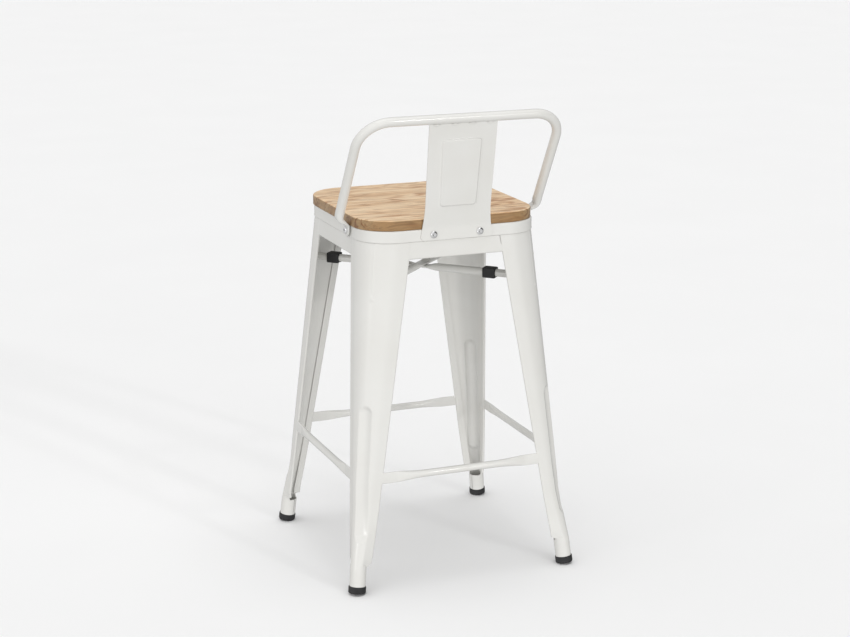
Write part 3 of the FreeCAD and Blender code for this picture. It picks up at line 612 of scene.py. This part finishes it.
def make_brace(name, degrees, z):
    """Tube from corner to corner, pressed flat where it crosses the other one."""
    reach = (face_at(z) - bend_at(z)) * math.sqrt(2) + bend_at(z) - GAUGE - 0.6
    half = [(0.0, 9.2, 1.8), (11.0, 9.2, 1.8), (15.0, 8.9, 2.3), (20.0, 7.9, 4.1), (25.0, 6.9, 5.8),
            (30.0, 6.5, 6.5), (80.0, 6.5, 6.5), (reach, 6.5, 6.5)]
    stations = [(-x, w, t) for x, w, t in reversed(half)] + half[1:]
    rings = [placed(stadium(w, t), Vector((x, 0, z)), Vector((0, 1, 0)), Vector((0, 0, 1)))
             for x, w, t in stations]
    shell = Shell()
    shell.tube(rings)
    shell.build(name, PAINT, "powder_coat", [name.replace("_tube", "")], degrees, crisp=50)


def make_bumper(name, degrees, z, spot):
    """Rubber block clipped over a brace, open along its underside."""
    half, bore, edge, slot = 8.75, 6.55, 1.6, 3.2
    outline = []
    for sx, sy, start in ((1, -1, -90), (1, 1, 0), (-1, 1, 90), (-1, -1, 180)):
        for i in range(6):
            angle = math.radians(start + 90 * i / 5)
            outline.append((sx * (half - edge) + edge * math.cos(angle),
                            sy * (half - edge) + edge * math.sin(angle)))
    mouth = math.asin(slot / bore)
    inside = [(bore * math.sin(a), -bore * math.cos(a)) for a in spread(2 * math.pi - mouth, mouth, 30)]
    section = [(slot, -half)] + outline + [(-slot, -half)] + inside
    rings = []
    for x, shrink in ((-11.0, 0.93), (-10.0, 0.985), (-9.0, 1.0), (9.0, 1.0), (10.0, 0.985), (11.0, 0.93)):
        ring = []
        for u, v in section:
            size = shrink if math.hypot(u, v) > bore + 0.3 else 1.0
            ring.append((spot + x, u * size, z + v * size))
        rings.append(ring)
    shell = Shell()
    shell.tube(rings)
    shell.build(f"rubber_block_{name}", RUBBER, "black_rubber", [f"brace_bumper_{name}"], degrees, crisp=40)


def make_hoop():
    """Bent tube: level top, leaning sides, lower ends pressed flat and turned in against the pan."""
    lean = math.radians(31.3)
    top_y, top_z, run = 183.0, 776.0, 198.0
    radius, flat_width, flat_gauge = 7.8, 11.5, 1.35
    low = (175.6, top_y - run * math.sin(lean), top_z - run * math.cos(lean))
    bends = round_line([((0.0, top_y, top_z), 0), ((173.4, top_y, top_z), 50.0), (low, 15.0),
                        ((158.7, 70.8, 594.5), 9.0), ((157.9, 70.0, 574.0), 0)])
    line, places = [bends[0]], [0.0]
    for start, end in zip(bends, bends[1:]):
        count = max(1, int((end - start).length / 6))
        line.extend(start.lerp(end, i / count) for i in range(1, count + 1))
    for a, b in zip(line, line[1:]):
        places.append(places[-1] + (b - a).length)
    rings = []
    for i, (point, place) in enumerate(zip(line, places)):
        tangent = (line[min(i + 1, len(line) - 1)] - line[max(i - 1, 0)]).normalized()
        wide = (Vector((0, 1, 0)) - tangent * tangent.y).normalized()
        left = places[-1] - place
        across = mix(radius, flat_width, ease((64 - left) / 36))
        thick = mix(radius, flat_gauge, ease((58 - left) / 32))
        if left < flat_width:
            across = math.sqrt(max(flat_width ** 2 - (flat_width - left) ** 2, 0.6))
        rings.append(placed(stadium(across, min(thick, across)), point, wide, tangent.cross(wide)))
    shell = Shell()
    for side in (rings, [[(-x, y, z) for x, y, z in ring] for ring in rings]):
        shell.grid(side, closed=True)
        shell.cap(side[-1])
    shell.build("hoop_tube", PAINT, "powder_coat", ["back_hoop"], crisp=50)


# ---------------------------------------------------------------- splat

SPLAT_BEND, SPLAT_LEAN, SPLAT_LENGTH = 21.2, math.radians(9.1), 195.0
PANEL_LOW, PANEL_HIGH = 55.6, 169.8


def splat_half(along):
    """Half the splat's width at a distance along it from its lower edge."""
    flare = 1 - clamp(along / 62)
    width = mix(56.7, 58.4, clamp((along - 42) / 130)) + 7.2 * flare ** 1.9
    if along < 8:
        width -= 8 - math.sqrt(64 - (8 - along) ** 2)
    return width


def splat_line(along):
    """(y, z, tilt) of the plate's front face at a distance along it."""
    start, steps = SPLAT_BEND - 5, 24
    y, z = 155.0, 575.8
    for i in range(steps):
        tilt = SPLAT_LEAN * clamp((along * (i + 0.5) / steps - start) / 10)
        y += math.sin(tilt) * along / steps
        z += math.cos(tilt) * along / steps
    return y, z, SPLAT_LEAN * clamp((along - start) / 10)


def splat_raised(x, along):
    """How far the panel stands out of the plate, with round corners and soft flanks."""
    corner, rise, flank, aside = 6.5, 2.4, 3.0, 1.0
    middle, tall = (PANEL_LOW + PANEL_HIGH) / 2, (PANEL_HIGH - PANEL_LOW) / 2
    half = mix(32.2, 35.0, clamp((along - PANEL_LOW) / (PANEL_HIGH - PANEL_LOW)))
    dx, dz = abs(x - aside) - (half - corner), abs(along - middle) - (tall - corner)
    outside = math.hypot(max(dx, 0), max(dz, 0)) + min(max(dx, dz), 0) - corner
    return rise * (1 - ease(outside / flank + 1))


def make_splat():
    """Back plate: flat foot on the pan, a soft bend, a leaning plate with a raised panel."""
    sheet, bead = 2.0, 1.7
    stations = sorted(set(spread(0.0, 8.0, 9) + spread(8.0, 16.0, 4) + spread(16.0, 28.0, 13)
                          + spread(30.0, 52.0, 10) + spread(53.0, 64.0, 23) + spread(66.0, 160.0, 30)
                          + spread(161.0, 176.0, 31) + spread(178.0, SPLAT_LENGTH, 6)))
    shares = spread(0.0, 0.44, 12) + spread(0.46, 0.66, 31) + spread(0.68, 1.0, 9)
    fractions = sorted(set(round(side * share, 5) for side in (-1, 1) for share in shares))
    front, back = [], []
    for along in stations:
        y, z, tilt = splat_line(along)
        normal = Vector((0, math.cos(tilt), -math.sin(tilt)))
        across = [fraction * splat_half(along) for fraction in fractions]
        front.append([Vector((x, y, z)) + normal * splat_raised(x, along) for x in across])
        back.append([p + normal * sheet for p in front[-1]])
    shell = Shell()
    shell.sheet(back, front)
    y, z, _ = splat_line(SPLAT_LENGTH)
    for x in (-46.0, -15.0, 15.0, 46.0):  # weld beads under the hoop
        rings = [[(x + shift, y + 2.6 + bead * size * math.cos(a), z - 1.5 + bead * size * math.sin(a))
                  for a in circle(12)]
                 for shift, size in ((-6.4, 0.35), (-3.2, 0.8), (0.0, 1.0), (3.2, 0.8), (6.4, 0.35))]
        shell.tube(rings)
    shell.build("splat_plate", PAINT, "powder_coat", ["back_splat"], crisp=40)


# ---------------------------------------------------------------- screws


def add_screw(shell, seat, axis):
    """Dome head with a hexagonal socket, its shank hidden behind it."""
    seat, axis, up = Vector(seat), Vector(axis), Vector((0, 0, 1))
    side = axis.cross(up)
    profile = [(3.0, -12.0), (3.0, 0.0), (6.0, 0.0), (6.3, 0.3), (6.3, 0.8)]
    for i in range(1, 8):
        angle = math.radians(78 * i / 7)
        profile.append((3.1 + 3.2 * math.cos(angle), 0.8 + 2.8 * math.sin(angle)))
    socket = [(2.35, 3.55), (2.15, 3.4), (2.1, 1.2), (1.2, 0.9)]

    def ring(radius, height, hexagonal):
        points = []
        for a in circle(48):
            reach = radius / math.cos(a % (math.pi / 3) - math.pi / 6) if hexagonal else radius
            points.append(tuple(seat + axis * height + (up * math.cos(a) + side * math.sin(a)) * reach))
        return points

    shell.tube([ring(*row, False) for row in profile] + [ring(*row, True) for row in socket])


def make_screws():
    rear, sides = Shell(), Shell()
    for sign in (-1, 1):
        add_screw(rear, (sign * 40.4, 157.0, SCREW_HEIGHT), (0, 1, 0))
        add_screw(sides, (sign * 159.4, 70.0, SCREW_HEIGHT), (sign, 0, 0))
    rear.build("splat_screw_heads", CHROME, "chrome_screw", ["splat_screws"], crisp=35)
    sides.build("hoop_screw_heads", CHROME, "chrome_screw", ["hoop_screws"], crisp=35)


# ---------------------------------------------------------------- the stool

make_board()
make_pan()
for leg, quarter in LEGS.items():
    make_leg(leg, quarter)
    make_cap(leg, quarter)
for side, quarter in SIDES.items():
    make_apron(side, quarter, open_end=side == "rear")
    make_footrest(side, quarter)
LOWER, UPPER = 497.6, 501.2
make_brace("cross_brace_lower_tube", 135, LOWER)
make_brace("cross_brace_upper_tube", 45, UPPER)
BUMPERS = {"rear_left": 146, "rear_right": 126, "front_right": 146, "front_left": 164}
for leg, quarter in LEGS.items():
    make_bumper(leg, 45 + 90 * quarter, LOWER if quarter % 2 else UPPER, BUMPERS[leg])
make_hoop()
make_splat()
make_screws()
for node in ("splat_nuts", "hoop_nuts", "board_screws"):
    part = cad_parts[node]
    part.data.materials.clear()
    part.data.materials.append(ZINC)

# ---------------------------------------------------------------- floor, light, camera


def floor_material():
    """Pale matt floor with a barely visible mottle."""
    n = Nodes("pale_floor")
    tone = n.ramp(n.noise(n.position, 3.0, 3), [(0.3, 0.90), (0.7, 0.91)])
    return n.finish(Base_Color=tone, Roughness=0.9, Specular_IOR_Level=0.1)


def make_floor():
    mesh = bpy.data.meshes.new("floor")
    size = 400.0
    corners = [(-size, -size, 0), (size, -size, 0), (size, size, 0), (-size, size, 0)]
    mesh.from_pydata(corners, [], [(0, 1, 2, 3)])
    mesh.materials.append(floor_material())
    floor = bpy.data.objects.new("floor", mesh)
    bpy.context.scene.collection.objects.link(floor)
    floor.visible_diffuse = False
    floor.visible_glossy = False
    floor.visible_shadow = False


def add_sun(name, energy, angle, direction, glints=True):
    """Even light with soft shadows; angle is its apparent size in degrees."""
    data = bpy.data.lights.new(name, "SUN")
    data.energy = energy
    data.angle = math.radians(angle)
    lamp = bpy.data.objects.new(name, data)
    lamp.visible_glossy = glints
    lamp.rotation_euler = Vector(direction).to_track_quat("-Z", "Y").to_euler()
    bpy.context.scene.collection.objects.link(lamp)


def sky_level(tree, toward, narrow, levels):
    """A level that depends on how near a direction in the dome is to another one."""
    dot = tree.nodes.new("ShaderNodeVectorMath")
    dot.operation = "DOT_PRODUCT"
    dot.inputs[1].default_value = Vector(toward).normalized()
    level = tree.nodes.new("ShaderNodeMapRange")
    for socket, value in zip(("From Min", "From Max", "To Min", "To Max"), (*narrow, *levels)):
        level.inputs[socket].default_value = value
    tree.links.new(tree.nodes["Texture Coordinate"].outputs["Generated"], dot.inputs[0])
    tree.links.new(dot.outputs["Value"], level.inputs["Value"])
    return level.outputs["Result"]


def make_light():
    """A studio dome, brightest high up on the sitter's left, with a black flag to one side for the
    bright metal to reflect, a soft overhead light, a fill from the back's side and two rim lights."""
    world = bpy.data.worlds.new("studio")
    bpy.context.scene.world = world
    world.use_nodes = True
    tree = world.node_tree
    background = tree.nodes["Background"]
    background.inputs["Color"].default_value = (1, 1, 1, 1)
    tree.nodes.new("ShaderNodeTexCoord")
    dome = sky_level(tree, (0.78, 0.32, 0.54), (-1, 1), (0.36, 1.00))
    flag = sky_level(tree, (-0.72, 0.58, 0.38), (0.86, 0.90), (1.0, 0.02))
    strength = tree.nodes.new("ShaderNodeMath")
    strength.operation = "MULTIPLY"
    tree.links.new(dome, strength.inputs[0])
    tree.links.new(flag, strength.inputs[1])
    tree.links.new(strength.outputs["Value"], background.inputs["Strength"])
    add_sun("overhead", 0.66, 46, (0.04, -0.04, -1.0))
    add_sun("camera_right", 1.15, 50, (0.17, -0.95, 0.0), glints=False)
    add_sun("left_strip", 0.08, 5, (-0.90, -0.36, -0.06))
    add_sun("back_strip", 0.25, 3, (0.36, -0.87, -0.34))


def make_camera():
    """Long lens behind the stool's back, a little to one side and above the seat."""
    data = bpy.data.cameras.new("camera")
    data.lens = 81.70
    data.sensor_width = 36.0
    camera = bpy.data.objects.new("camera", data)
    camera.location = (1.1801, 2.9779, 1.2327)
    look = Vector((-0.3585, -0.8993, -0.2504))
    camera.rotation_euler = look.to_track_quat("-Z", "Y").to_euler()
    bpy.context.scene.collection.objects.link(camera)
    bpy.context.scene.camera = camera


make_floor()
make_light()
make_camera()
bpy.context.scene.view_settings.view_transform = "Standard"
